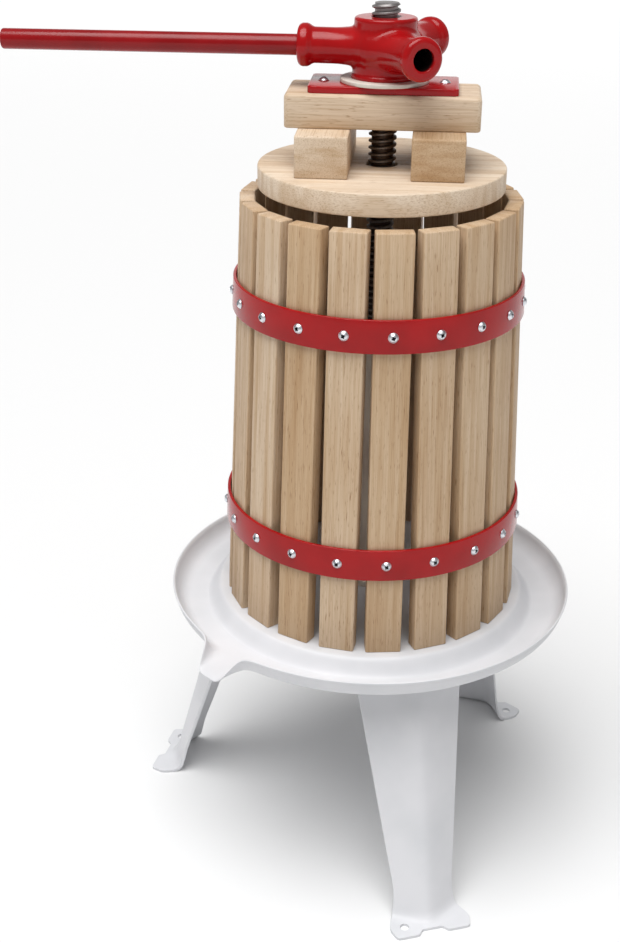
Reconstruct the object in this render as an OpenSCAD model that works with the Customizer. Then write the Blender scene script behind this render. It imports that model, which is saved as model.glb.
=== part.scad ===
// Fruit press: a slatted beech basket in a spouted tray on three pressed legs, with a screw in
// the middle and a turning nut whose lever drives the press head down the screw.
// +Z is up, the screw is on the Z axis, the floor is z = 0, and the beam and the lever lie along X.

/* [Stand] */
// Height of the platform that the basket stands on
stand_h = 265; // [240:1:290]
// Direction of the first leg about the screw, in degrees
leg_turn = -67; // [-80:1:-55]
// Thickness of the legs' sheet
leg_sheet = 3; // [2.5:0.5:4]
// Distance of a leg's ridge from the screw at the floor
leg_foot_r = 219; // [205:1:232]
// Distance of a leg's ridge from the screw at the platform
leg_top_r = 148; // [144:1:150]
// Half of a leg's width just above the foot
leg_foot_w = 30; // [26:1:33]
// Half of a leg's width under the tray
leg_top_w = 55; // [48:1:58]
// How fast a leg's two sides fall back from its ridge
leg_vee = 0.6; // [0.5:0.05:0.65]
// Diameter of the anchor hole in each foot
foot_hole_d = 9; // [6:0.5:11]

/* [Tray] */
// Outer radius of the rim
tray_r = 199.5; // [196:0.5:206]
// Thickness of the tray's sheet
tray_sheet = 2; // [1.5:0.5:2.5]
// Width of the flat platform outside the legs' ridges
platform_edge = 3; // [2:0.5:5]
// Height of the rim above the platform
rim_rise = 3.5; // [1:0.5:10]
// Depth of the juice channel below the platform
channel_d = 15.5; // [11:0.5:18]
// How far the spout reaches past the rim
spout_reach = 22; // [15:1:32]
// Half of the angle that the spout takes up at half of its reach, in degrees
spout_half = 5.2; // [4:0.2:9]

/* [Basket] */
// Height of the staves
basket_h = 396; // [370:1:420]
// Distance of a stave's outer face from the screw, at the bottom
basket_r_low = 143.5; // [142:0.5:146]
// Distance of a stave's outer face from the screw, at the top
basket_r_top = 127.5; // [126:0.5:131]
// Width of a stave
stave_w = 33; // [29:0.5:35]
// Thickness of a stave
stave_t = 14; // [12:0.5:15]
// Radius on a stave's long outer edges
stave_ease = 1.5; // [1:0.5:4]
// Chamfer on a stave's upper end
stave_end = 1.5; // [1:0.5:4]
// Direction of the first stave about the screw, in degrees
stave_turn = -79; // [-88:1:-72]
// Height of the lower hoop's middle above the platform
hoop_low_h = 92; // [70:1:120]
// Height of the upper hoop's middle above the platform
hoop_top_h = 308; // [280:1:330]
// Width of a hoop
hoop_w = 30; // [22:1:36]
// Thickness of a hoop
hoop_t = 3; // [2:0.5:4]
// Diameter of a hoop screw's head
hoop_screw_d = 9; // [7:0.5:11]

/* [Screw] */
// Outer diameter of the screw's thread
screw_d = 25; // [22:0.5:26]
// How far the screw stands out of the hub
screw_end = 11.5; // [10.5:0.5:30]
// Diameter of the screw's foot where it goes through the tray
screw_foot_d = 20; // [16:0.5:21]

/* [Press head] */
// Direction of the beam about the screw, in degrees
head_turn = 3; // [-10:1:10]
// Gap between the basket's top and the press plate, with the head raised
head_lift = 8.5; // [4:0.5:16]
// Thickness of the press plate
plate_t = 20; // [16:0.5:24]
// Gap between the press plate and the staves' tops
plate_gap = 2; // [1.5:0.5:4]
// Width of a block
block_w = 46; // [40:1:50]
// Length of a block
block_l = 131; // [110:1:140]
// Height of a block
block_h = 36.5; // [30:0.5:44]
// Radius on the blocks' upper ends
block_round = 2.5; // [1:0.5:6]
// Distance from the screw to the middle of a block
block_x = 50; // [46:0.5:56]
// Length of the beam
beam_l = 170; // [156:1:176]
// Depth of the beam
beam_w = 72; // [68:1:80]
// Height of the beam
beam_h = 29.5; // [26:0.5:34]
// Radius on the beam's upper edges
beam_round = 4; // [2:0.5:9]
// Length of the bearing plate
bearing_l = 130; // [124:1:140]
// Width of the bearing plate
bearing_w = 65; // [60:1:67]
// Thickness of the bearing plate
bearing_t = 6; // [4:0.5:8]
// Distance from the screw to a bearing plate screw
bearing_screw_x = 53; // [50:0.5:55]
// Diameter of the thrust washer
washer_d = 78; // [70:1:80]
// Thickness of the thrust washer
washer_t = 3.5; // [2:0.5:5]

/* [Hub and lever] */
// Height of the hub
hub_h = 51; // [46:0.5:56]
// Radius of the hub's barrel at the bottom
hub_r_low = 28.5; // [27:0.5:30]
// Radius of the hub's barrel at the top
hub_r_top = 27.3; // [25:0.1:28]
// Height of the sockets' axes above the hub's underside
socket_h = 25.5; // [23:0.5:28]
// Distance from the screw to a socket's end
socket_reach = 76; // [68:0.5:84]
// Diameter of a socket's arm at its bead
socket_arm_d = 30.5; // [27:0.5:31]
// Diameter of the bead round a socket's end
socket_bead_d = 36.6; // [34:0.2:40]
// Diameter of the lever
lever_d = 18; // [16:0.5:18.5]
// Thickness of the lever tube's wall
lever_wall = 2.5; // [1.5:0.5:3]
// Distance from the screw to the lever's far end
lever_reach = 344; // [280:1:420]

/* [Hidden] */
$fn = 96;
stave_n = 20;
leg_n = 3;
socket_n = 3;

// clearances, the first three and the last on the radius
run_fit = 0.05;
slip_fit = 0.3;
hole_fit = 0.25;
way_fit = 1.5;
hoop_fit = 0.1;
split_gap = 0.2;
seat_gap = 0.05;
// how far a cut runs past the face that it opens
past = 1;

// heights
tray_low = stand_h - tray_sheet;
rim_z = stand_h + rim_rise;
floor_z = stand_h - channel_d;
basket_z = stand_h + seat_gap;
basket_top = basket_z + basket_h;
plate_z = basket_top + head_lift;
block_z = plate_z + plate_t;
beam_z = block_z + block_h;
bearing_z = beam_z + beam_h;
washer_z = bearing_z + bearing_t;
hub_z = washer_z + washer_t;
socket_z = hub_z + socket_h;
screw_top = hub_z + hub_h + screw_end;

// basket and press head
lean_rate = (basket_r_low - basket_r_top) / basket_h;
stave_lean = atan(lean_rate);
plate_r = basket_r_top - stave_t - plate_gap;
way_d = screw_d + 2 * way_fit;
bearing_corner = 4;

// tray: the platform covers the legs' tops, and the channel round it has a slope, a floor and a wall
platform_r = leg_top_r + platform_edge;
channel_w = tray_r - platform_r;
slope_w = channel_w * 0.31;
wall_w = channel_w * 0.35;
lip_drop = 4;
lip_w = 2;
spout_bow = 6;
spout_turn = leg_turn - 180 / leg_n;

// legs: softness of the ridge, bend under the tray, and the foot's length and lobes
ridge_soft = 8;
leg_bend = 9;
foot_l = 16;
foot_flare = 9.5;
foot_notch = 6;
foot_hole_at = [leg_foot_r + 3, -26];

// fasteners
leg_bolt_d = 8;
leg_bolt_head = 16;
leg_bolt_head_h = 4;
leg_bolt_gap = 7.5;
leg_bolt_r = basket_r_low - stave_t - leg_bolt_head / 2 - leg_bolt_gap;
leg_bolt_t = 24;
leg_bolt_edge = 10;
leg_nut_w = 13;
leg_nut_h = 6.5;
hoop_screw_h = hoop_screw_d * 0.36;
hoop_shank_d = 4;
hoop_shank_l = 8;
bearing_screw_d = 5;
bearing_screw_l = 20;
bearing_head = 10;
bearing_head_h = 3;
thread_end = 4.5;

// the screw's collar on the tray, and what holds its foot below
collar_d = screw_d + 21;
collar_h = 6;
screw_tip = 2;
foot_washer_d = 62;
foot_washer_t = 4;
foot_nut_w = 30;
foot_nut_h = 16;

// hub casting
hub_lip = 1;
hub_lip_h = 3;
hub_ease = 2;
// the round web that joins the arms: how far it stands out of the barrel, and the radius of its edge
hub_web = 3.5;
hub_web_r = 10.5;
// a socket arm's flare: where it starts from the screw, its length, and how far it opens inside the barrel
arm_root_l = 14;
arm_flare_l = 31;
arm_root_share = 0.5;
arm_root_r = socket_arm_d / 2 + (min(socket_h, hub_h - socket_h) - socket_arm_d / 2) * arm_root_share;
bead_w = 11.5;
bead_ease = 4.5;
socket_floor = 22;
socket_d = lever_d + 2 * slip_fit;
lever_seat = 2;
lever_ease = 1.5;

// distance of the staves' outer face, and of their outer edges, at a height above the platform
function face_r(h) = basket_r_low - lean_rate * h;
function edge_r(h) = norm([face_r(h), stave_w / 2]);

// unit normal in the radial plane of a path of [r, z] points, to the left of its direction
function path_normal(p, i) =
    let (a = p[max(i - 1, 0)])
    let (b = p[min(i + 1, len(p) - 1)])
    let (d = b - a)
    [-d[1], d[0]] / norm(d);

// triangles between two rows of n points that start at a and b
function strip(a, b, n) = [for (j = [0 : n - 2]) each
    [[a + j, a + j + 1, b + j + 1], [a + j, b + j + 1, b + j]]];

function flip(faces) = [for (f = faces) [f[2], f[1], f[0]]];

// a closed sheet between two grids of points with the same rows
module sheet(upper, lower) {
    m = len(upper);
    n = len(upper[0]);
    k = m * n;
    points = concat([for (row = upper) each row], [for (row = lower) each row]);
    top = [for (i = [0 : m - 2]) each strip(i * n, (i + 1) * n, n)];
    base = flip([for (f = top) f + [k, k, k]]);
    side = [for (i = [0 : m - 2]) each [
        [i * n, (i + 1) * n, k + (i + 1) * n],
        [i * n, k + (i + 1) * n, k + i * n],
        [(i + 2) * n - 1, (i + 1) * n - 1, k + (i + 1) * n - 1],
        [(i + 2) * n - 1, k + (i + 1) * n - 1, k + (i + 2) * n - 1]]];
    ends = [for (j = [0 : n - 2]) each [
        [j + 1, j, k + j],
        [j + 1, k + j, k + j + 1],
        [(m - 1) * n + j, (m - 1) * n + j + 1, k + (m - 1) * n + j + 1],
        [(m - 1) * n + j, k + (m - 1) * n + j + 1, k + (m - 1) * n + j]]];
    polyhedron(points, concat(top, base, side, ends), convexity = 8);
}

// a square profile whose upper two corners, or all four, are rounded
module eased(w, h, r, all = false) {
    translate([-w / 2, all ? r : 0]) square([w, h - (all ? 2 : 1) * r]);
    translate([-w / 2 + r, 0]) square([w - 2 * r, h]);
    for (s = [-1, 1]) {
        translate([s * (w / 2 - r), h - r]) circle(r);
        if (all) translate([s * (w / 2 - r), r]) circle(r);
    }
}

module nut(across, t, bore) {
    difference() {
        cylinder(h = t, d = across / cos(30), $fn = 6);
        translate([0, 0, -past]) cylinder(h = t + 2 * past, d = bore + 2 * run_fit);
    }
}

// a domed head with a shank that runs down from the seat at z = 0
module domed_screw(head, h, shank, l) {
    ball = (pow(head / 2, 2) + h * h) / (2 * h);
    rotate_extrude($fn = 48) intersection() {
        translate([0, h - ball]) circle(ball);
        square([head, h]);
    }
    translate([0, 0, -l]) cylinder(h = l + h / 2, d = shank, $fn = 32);
}

// upper surface of the tray in one radial plane: s is 0 along the rim and 1 in the spout
function tray_path(s) =
    let (edge = [tray_r + spout_reach * s, rim_z + (floor_z - lip_drop - rim_z) * s])
    let (foot = tray_r - wall_w)
    concat([[screw_foot_d / 4, stand_h], [platform_r, stand_h]],
        [for (a = [0.2, 0.5, 0.8, 1])
            [platform_r + a * slope_w, floor_z + channel_d * (1 + cos(a * 180)) / 2]],
        [for (a = [0, 25, 45, 65, 80])
            [foot + (edge[0] - lip_w - foot) * sin(a), floor_z + (edge[1] - floor_z) * (1 - cos(a))]],
        [[edge[0] - lip_w / 2, edge[1]], edge]);

// close together round the spout
function tray_angles() = concat([for (a = [-14 : 1 : 14]) a], [for (a = [20 : 6.4 : 340]) a]);

// a round tongue whose sides run out into the rim in hollow curves
function spout_share(a) = 1 / (1 + pow(abs(a > 180 ? a - 360 : a) / spout_half, spout_bow));

module tray() {
    angles = tray_angles();
    loops = [for (a = angles)
        let (p = tray_path(spout_share(a)))
        let (n = [for (i = [0 : len(p) - 1]) i < 2 ? [0, 1] : path_normal(p, i)])
        let (q = [for (i = [len(p) - 1 : -1 : 0]) p[i] - tray_sheet * n[i]])
        [for (v = concat(p, q)) [v[0] * cos(a), v[0] * sin(a), v[1]]]];
    m = len(loops);
    n = len(loops[0]);
    faces = [for (i = [0 : m - 1]) for (j = [0 : n - 1]) each
        let (a = i * n + j)
        let (b = i * n + (j + 1) % n)
        let (c = ((i + 1) % m) * n + (j + 1) % n)
        let (d = ((i + 1) % m) * n + j)
        [[c, b, a], [d, c, a]]];
    color("white") difference() {
        rotate([0, 0, spout_turn])
            polyhedron([for (l = loops) each l], faces, convexity = 8);
        translate([0, 0, tray_low - past])
            cylinder(h = tray_sheet + 2 * past, d = screw_foot_d + 2 * hole_fit);
        leg_places() bolt_places() translate([0, 0, tray_low - past])
            cylinder(h = tray_sheet + 2 * past, d = leg_bolt_d + 2 * hole_fit, $fn = 48);
    }
}

module leg_places() {
    for (i = [0 : leg_n - 1]) rotate([0, 0, leg_turn + i * 360 / leg_n]) children();
}

module bolt_places() {
    for (s = [-1, 1]) translate([leg_bolt_r, s * leg_bolt_t, 0]) children();
}

// one leg along +X: the path runs down its ridge, from the tab under the tray to the foot
module leg(i) {
    lean = (leg_foot_r - leg_top_r) / tray_low;
    ridge = function(z) leg_foot_r - lean * z;
    vee = function(t) leg_vee * (norm([t, ridge_soft]) - ridge_soft);
    // where the section is drawn over half its width, and how far the toe is cut back there
    half_across = [0, 0.12, 0.26, 0.42, 0.87, 0.96, 1];
    half_lobes = [1, 1, 1, 0, 0, 0.23, 0.83];
    m = len(half_across) - 1;
    across = concat([for (j = [m : -1 : 1]) -half_across[j]], half_across);
    lobes = concat([for (j = [m : -1 : 1]) half_lobes[j]], half_lobes);
    up = tray_low;
    // ridge radius, height, half width and share of the vee
    path = [
        [leg_bolt_r - leg_bolt_edge, up, leg_bolt_t + 1.8 * leg_bolt_edge, 0],
        [ridge(up) - leg_bend, up, leg_top_w, 0.95],
        [ridge(up) - leg_bend * 0.3, up - leg_bend * 0.25, leg_top_w, 1],
        [ridge(up - leg_bend), up - leg_bend, leg_top_w, 1],
        [ridge(foot_l * 1.9), foot_l * 1.9, leg_foot_w, 1],
        [ridge(foot_l), foot_l, leg_foot_w + foot_flare * 0.05, 1],
        [ridge(foot_l / 2) + foot_l * 0.06, foot_l / 2, leg_foot_w + foot_flare * 0.2, 1],
        [leg_foot_r + foot_l * 0.17, leg_sheet + foot_l * 0.06, leg_foot_w + foot_flare * 0.4, 0.95],
        [leg_foot_r + foot_l * 0.31, leg_sheet, leg_foot_w + foot_flare * 0.65, 0.8],
        [leg_foot_r + foot_l * 0.5, leg_sheet, leg_foot_w + foot_flare, 0.4],
        [leg_foot_r + foot_l, leg_sheet, leg_foot_w + foot_flare * 0.85, 0]];
    rz = [for (p = path) [p[0], p[1]]];
    last = len(path) - 1;
    outer = [for (k = [0 : last]) [for (j = [0 : len(across) - 1])
        let (p = path[k])
        let (t = across[j] * p[2])
        [p[0] - p[3] * vee(t) + (k == last ? -foot_notch * lobes[j] : 0), t, p[1]]]];
    inner = [for (k = [0 : last]) [for (j = [0 : len(across) - 1])
        let (n = k < 2 || k > last - 3 ? [0, 1] : path_normal(rz, k))
        let (o = outer[k][j])
        [o[0] - n[0] * leg_sheet, o[1], o[2] - n[1] * leg_sheet]]];
    color("white") rotate([0, 0, leg_turn + i * 360 / leg_n]) difference() {
        sheet(outer, inner);
        translate([foot_hole_at[0], foot_hole_at[1], -past])
            cylinder(h = leg_sheet + 2 * past, d = foot_hole_d, $fn = 48);
        bolt_places() translate([0, 0, up - leg_sheet - past])
            cylinder(h = leg_sheet + 2 * past, d = leg_bolt_d + 2 * hole_fit, $fn = 48);
    }
}

module leg_bolts() {
    color("silver") leg_places() bolt_places() translate([0, 0, stand_h])
        domed_screw(leg_bolt_head, leg_bolt_head_h, leg_bolt_d,
            tray_sheet + leg_sheet + leg_nut_h + thread_end);
}

module leg_nuts() {
    color("silver") leg_places() bolt_places()
        translate([0, 0, tray_low - leg_sheet - leg_nut_h]) nut(leg_nut_w, leg_nut_h, leg_bolt_d);
}

// the thread is plain here, at its outer diameter
module screw() {
    foot = tray_sheet + foot_washer_t + foot_nut_h + 2 * thread_end;
    up = screw_top - stand_h;
    color("dimgray") translate([0, 0, stand_h]) rotate_extrude() polygon([
        [0, -foot],
        [screw_foot_d / 2, -foot],
        [screw_foot_d / 2, 0],
        [collar_d / 2, 0],
        [collar_d / 2, collar_h],
        [screw_d / 2, collar_h],
        [screw_d / 2, up - screw_tip],
        [screw_d / 2 - screw_tip, up],
        [0, up]]);
}

module screw_washer() {
    color("silver") translate([0, 0, tray_low - foot_washer_t]) difference() {
        cylinder(h = foot_washer_t, d = foot_washer_d);
        translate([0, 0, -past])
            cylinder(h = foot_washer_t + 2 * past, d = screw_foot_d + 2 * run_fit);
    }
}

module screw_nut() {
    color("silver") translate([0, 0, tray_low - foot_washer_t - foot_nut_h])
        nut(foot_nut_w, foot_nut_h, screw_foot_d);
}

// where the hoop screws of one hoop go: out of the stave's face, square to it
module hoop_screw_at(i, h) {
    rotate([0, 0, stave_turn + i * 360 / stave_n])
        translate([face_r(h), 0, basket_z + h]) rotate([0, 90 - stave_lean, 0]) children();
}

// what a stave is cut from: level ends, with the chamfer on the upper one's outer edge
module stave_blank() {
    far = basket_r_low + stave_t;
    near = basket_r_top - stave_end;
    translate([0, stave_w, 0]) rotate([90, 0, 0]) linear_extrude(2 * stave_w) polygon([
        [0, basket_z],
        [far, basket_z],
        [far, basket_top - far + near],
        [near, basket_top],
        [0, basket_top]]);
}

// a flat board that leans in, cut level at both ends and drilled for its two screws
module stave(i) {
    color("burlywood") difference() {
        rotate([0, 0, stave_turn + (i - 1) * 360 / stave_n]) intersection() {
            translate([basket_r_low, 0, basket_z]) rotate([0, -stave_lean, 0])
                translate([0, 0, -stave_t]) linear_extrude(basket_h + 2 * stave_t) rotate(-90)
                    translate([0, -stave_t]) eased(stave_w, stave_t, stave_ease);
            stave_blank();
        }
        for (h = [hoop_low_h, hoop_top_h]) hoop_screw_at(i - 1, h)
            translate([0, 0, -hoop_shank_l - past])
                cylinder(h = hoop_shank_l + 2 * past, d = hoop_shank_d + 2 * hole_fit, $fn = 24);
    }
}

module hoop(h) {
    half = hoop_w / 2;
    r = edge_r(h) + hoop_fit;
    d = lean_rate * half;
    color("firebrick") difference() {
        translate([0, 0, basket_z + h]) rotate_extrude($fn = 128) polygon([
            [r + d, -half],
            [r + d + hoop_t, -half],
            [r - d + hoop_t, half],
            [r - d, half]]);
        for (i = [0 : stave_n - 1]) hoop_screw_at(i, h)
            cylinder(h = 4 * hoop_t, d = hoop_shank_d + 2 * hole_fit, $fn = 24);
    }
}

// a domed head on the hoop and a shank through it into the stave
module hoop_screws(h) {
    seat = edge_r(h) + hoop_fit - face_r(h) + hoop_t;
    color("silver") for (i = [0 : stave_n - 1]) hoop_screw_at(i, h) translate([0, 0, seat])
        domed_screw(hoop_screw_d, hoop_screw_h, hoop_shank_d, seat + hoop_shank_l);
}

// a place on the press head, which stands turned about the screw
module head_at(z) {
    rotate([0, 0, head_turn]) translate([0, 0, z]) children();
}

module half_plate(side) {
    color("burlywood") head_at(plate_z) intersection() {
        difference() {
            cylinder(h = plate_t, r = plate_r, $fn = 128);
            translate([0, 0, -past]) cylinder(h = plate_t + 2 * past, d = way_d);
        }
        translate([-plate_r, side > 0 ? split_gap / 2 : -plate_r - split_gap / 2, 0])
            cube([2 * plate_r, plate_r, plate_t]);
    }
}

module block(side) {
    color("burlywood") head_at(block_z) translate([side * block_x - block_w / 2, 0, 0])
        rotate([90, 0, 90]) linear_extrude(block_w) eased(block_l, block_h, block_round);
}

module beam() {
    color("burlywood") head_at(beam_z) difference() {
        intersection() {
            translate([-beam_l / 2, 0, 0]) rotate([90, 0, 90]) linear_extrude(beam_l)
                eased(beam_w, beam_h, beam_round);
            translate([0, beam_w / 2, 0]) rotate([90, 0, 0]) linear_extrude(beam_w)
                eased(beam_l, beam_h, beam_round);
        }
        translate([0, 0, -past]) cylinder(h = beam_h + 2 * past, d = way_d);
        for (s = [-1, 1]) translate([s * bearing_screw_x, 0, beam_h - bearing_screw_l - past])
            cylinder(h = bearing_screw_l + 2 * past, d = bearing_screw_d + 2 * hole_fit, $fn = 32);
    }
}

module bearing_plate() {
    color("firebrick") head_at(bearing_z) difference() {
        linear_extrude(bearing_t) translate([0, -bearing_w / 2])
            eased(bearing_l, bearing_w, bearing_corner, all = true);
        translate([0, 0, -past]) cylinder(h = bearing_t + 2 * past, d = way_d);
        for (s = [-1, 1]) translate([s * bearing_screw_x, 0, -past])
            cylinder(h = bearing_t + 2 * past, d = bearing_screw_d + 2 * hole_fit, $fn = 32);
    }
}

module bearing_screws() {
    color("silver") head_at(washer_z) for (s = [-1, 1]) translate([s * bearing_screw_x, 0, 0])
        domed_screw(bearing_head, bearing_head_h, bearing_screw_d, bearing_t + bearing_screw_l);
}

module thrust_washer() {
    color("ivory") translate([0, 0, washer_z]) difference() {
        cylinder(h = washer_t, d = washer_d);
        translate([0, 0, -past]) cylinder(h = washer_t + 2 * past, d = way_d);
    }
}

// outer profile of one socket arm: a hollow flare out of the barrel, then a neck and a rounded bead
module arm_profile() {
    neck_r = socket_arm_d / 2;
    neck = socket_reach - bead_w;
    flare = arm_root_r - neck_r;
    hollow = (flare * flare + arm_flare_l * arm_flare_l) / (2 * flare);
    square([neck_r, neck + bead_ease]);
    translate([0, arm_root_l]) difference() {
        square([arm_root_r, arm_flare_l]);
        translate([neck_r + hollow, arm_flare_l]) circle(hollow, $fn = 180);
    }
    translate([0, neck]) intersection() {
        eased(socket_bead_d, bead_w, bead_ease, all = true);
        square([socket_bead_d, bead_w]);
    }
}

module socket_places() {
    for (i = [0 : socket_n - 1]) rotate([0, 0, 180 + i * 360 / socket_n])
        translate([0, 0, socket_h]) rotate([0, 90, 0]) children();
}

module hub() {
    color("firebrick") translate([0, 0, hub_z]) difference() {
        union() {
            rotate_extrude() {
                polygon([
                    [0, 0],
                    [hub_r_low + hub_lip, 0],
                    [hub_r_low + hub_lip, hub_lip_h],
                    [hub_r_low, hub_lip_h + hub_ease],
                    [hub_r_top, hub_h - hub_ease],
                    [hub_r_top - hub_ease, hub_h],
                    [0, hub_h]]);
                translate([hub_r_low + hub_web - hub_web_r, socket_h]) circle(hub_web_r);
            }
            socket_places() rotate_extrude() arm_profile();
        }
        translate([0, 0, -past]) cylinder(h = hub_h + 2 * past, d = screw_d + 2 * run_fit);
        socket_places() translate([0, 0, socket_floor])
            cylinder(h = socket_reach - socket_floor + past, d = socket_d);
    }
}

// a tube that stands in its socket with its end near the socket's floor, rounded at its far end
module lever() {
    l = lever_reach - socket_floor - lever_seat;
    ease = min(lever_ease, lever_wall * 0.8);
    color("firebrick") translate([-lever_reach, 0, socket_z]) rotate([0, 90, 0])
        rotate_extrude() translate([lever_d / 2 - lever_wall, 0]) {
            translate([0, ease]) square([lever_wall, l - ease]);
            square([lever_wall - ease, l]);
            translate([lever_wall - ease, ease]) circle(ease);
        }
}

tray();
leg(0);  // leg_front
leg(1);  // leg_back
leg(2);  // leg_left
leg_bolts();
leg_nuts();
screw();
screw_washer();
screw_nut();
stave(1);  // stave_01
stave(2);  // stave_02
stave(3);  // stave_03
stave(4);  // stave_04
stave(5);  // stave_05
stave(6);  // stave_06
stave(7);  // stave_07
stave(8);  // stave_08
stave(9);  // stave_09
stave(10);  // stave_10
stave(11);  // stave_11
stave(12);  // stave_12
stave(13);  // stave_13
stave(14);  // stave_14
stave(15);  // stave_15
stave(16);  // stave_16
stave(17);  // stave_17
stave(18);  // stave_18
stave(19);  // stave_19
stave(20);  // stave_20
hoop(hoop_low_h);  // hoop_lower
hoop(hoop_top_h);  // hoop_upper
hoop_screws(hoop_low_h);  // hoop_screws_lower
hoop_screws(hoop_top_h);  // hoop_screws_upper
half_plate(-1);  // plate_front
half_plate(1);  // plate_back
block(-1);  // block_left
block(1);  // block_right
beam();
bearing_plate();
bearing_screws();
thrust_washer();
hub();
lever();
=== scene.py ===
import math
import random

import bmesh
import bpy
import numpy as np
from mathutils import Matrix, Vector


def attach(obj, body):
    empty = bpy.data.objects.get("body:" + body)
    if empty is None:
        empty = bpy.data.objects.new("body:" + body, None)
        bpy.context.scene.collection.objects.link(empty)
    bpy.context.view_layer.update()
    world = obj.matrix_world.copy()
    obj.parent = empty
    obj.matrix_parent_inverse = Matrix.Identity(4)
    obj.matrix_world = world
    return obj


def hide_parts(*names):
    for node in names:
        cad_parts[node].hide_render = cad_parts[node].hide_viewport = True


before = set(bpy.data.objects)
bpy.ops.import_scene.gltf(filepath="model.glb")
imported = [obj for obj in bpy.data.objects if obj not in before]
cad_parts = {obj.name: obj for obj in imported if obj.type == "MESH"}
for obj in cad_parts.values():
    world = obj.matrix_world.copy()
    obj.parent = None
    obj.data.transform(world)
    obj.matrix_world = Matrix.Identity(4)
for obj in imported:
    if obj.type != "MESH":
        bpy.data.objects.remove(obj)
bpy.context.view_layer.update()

scene = bpy.context.scene
mm = 0.001
draw = random.Random(11)


def linear(code):  # an sRGB hex value as the linear colour that a shader takes
    parts = [int(code[i:i + 2], 16) / 255 for i in (0, 2, 4)]
    return tuple(c / 12.92 if c <= 0.04045 else ((c + 0.055) / 1.055) ** 2.4 for c in parts) + (1.0,)


def addNode(tree, kind, inputs={}, stops=(), **settings):
    node = tree.nodes.new(kind)
    for key, value in settings.items():
        setattr(node, key, value)
    for key, value in inputs.items():
        if isinstance(value, bpy.types.NodeSocket):
            tree.links.new(value, node.inputs[key])
        else:
            node.inputs[key].default_value = value
    for i, (place, colour) in enumerate(stops):
        stop = node.color_ramp.elements[i] if i < 2 else node.color_ramp.elements.new(place)
        stop.position, stop.color = place, colour
    return node


def startMaterial(name):
    material = bpy.data.materials.new(name)
    material.use_nodes = True
    return material, material.node_tree, material.node_tree.nodes["Principled BSDF"]


# beech, planed: pale tan boards with faint growth bands and short dark pores, nearly matt
beechLook = {
    "tones": ("e6d6c2", "cdb496", "c7a67c"),  # pale, middle and warm boards, by boardTone
    "layers": {  # mm across, deep and along the grain, where it begins and is full, and its tint
        "clouds": (45.0, 60.0, 170.0, 0.35, 0.7, "f3ece4"),
        "bands": (6.0, 28.0, 260.0, 0.42, 0.74, "e9dece"),
        "fibres": (0.7, 1.2, 60.0, 0.45, 0.8, "e0d3c3"),
        "flecks": (0.9, 0.9, 11.0, 0.6, 0.76, "bfa78e"),  # real pores are finer, drawn coarse to show
    },
    "roughness": (0.5, 0.66),
    "bump": 0.12,  # mm
}


def makeBeech(look):
    material, tree, shader = startMaterial("beechPlaned")
    place = addNode(tree, "ShaderNodeAttribute", attribute_name="grainPlace").outputs["Vector"]
    tone = addNode(tree, "ShaderNodeAttribute", attribute_name="boardTone").outputs["Fac"]
    stops = [(i / 2, linear(code)) for i, code in enumerate(look["tones"])]
    colour = addNode(tree, "ShaderNodeValToRGB", {"Fac": tone}, stops).outputs["Color"]
    masks = {}
    for name, (across, deep, along, start, full, tint) in look["layers"].items():
        spread = addNode(tree, "ShaderNodeMapping", {
            "Vector": place, "Scale": (1 / (across * mm), 1 / (deep * mm), 1 / (along * mm))})
        noise = addNode(tree, "ShaderNodeTexNoise", {
            "Vector": spread.outputs["Vector"], "Scale": 1.0, "Detail": 3.0})
        masks[name] = addNode(tree, "ShaderNodeMapRange", {
            "Value": noise.outputs["Fac"], "From Min": start, "From Max": full}).outputs["Result"]
        tinted = addNode(tree, "ShaderNodeMix", {
            0: masks[name], 6: colour, 7: linear(tint)}, data_type="RGBA", blend_type="MULTIPLY")
        colour = tinted.outputs[2]
    low, high = look["roughness"]
    rough = addNode(tree, "ShaderNodeMapRange", {"Value": masks["fibres"], "To Min": low, "To Max": high})
    height = addNode(tree, "ShaderNodeMath", {0: masks["fibres"], 1: masks["flecks"]}, operation="ADD")
    bump = addNode(tree, "ShaderNodeBump", {
        "Height": height.outputs["Value"], "Strength": 0.5, "Distance": look["bump"] * mm}, invert=True)
    tree.links.new(colour, shader.inputs["Base Color"])
    tree.links.new(rough.outputs["Result"], shader.inputs["Roughness"])
    tree.links.new(bump.outputs["Normal"], shader.inputs["Normal"])
    shader.inputs["Specular IOR Level"].default_value = 0.3
    return material


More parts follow.
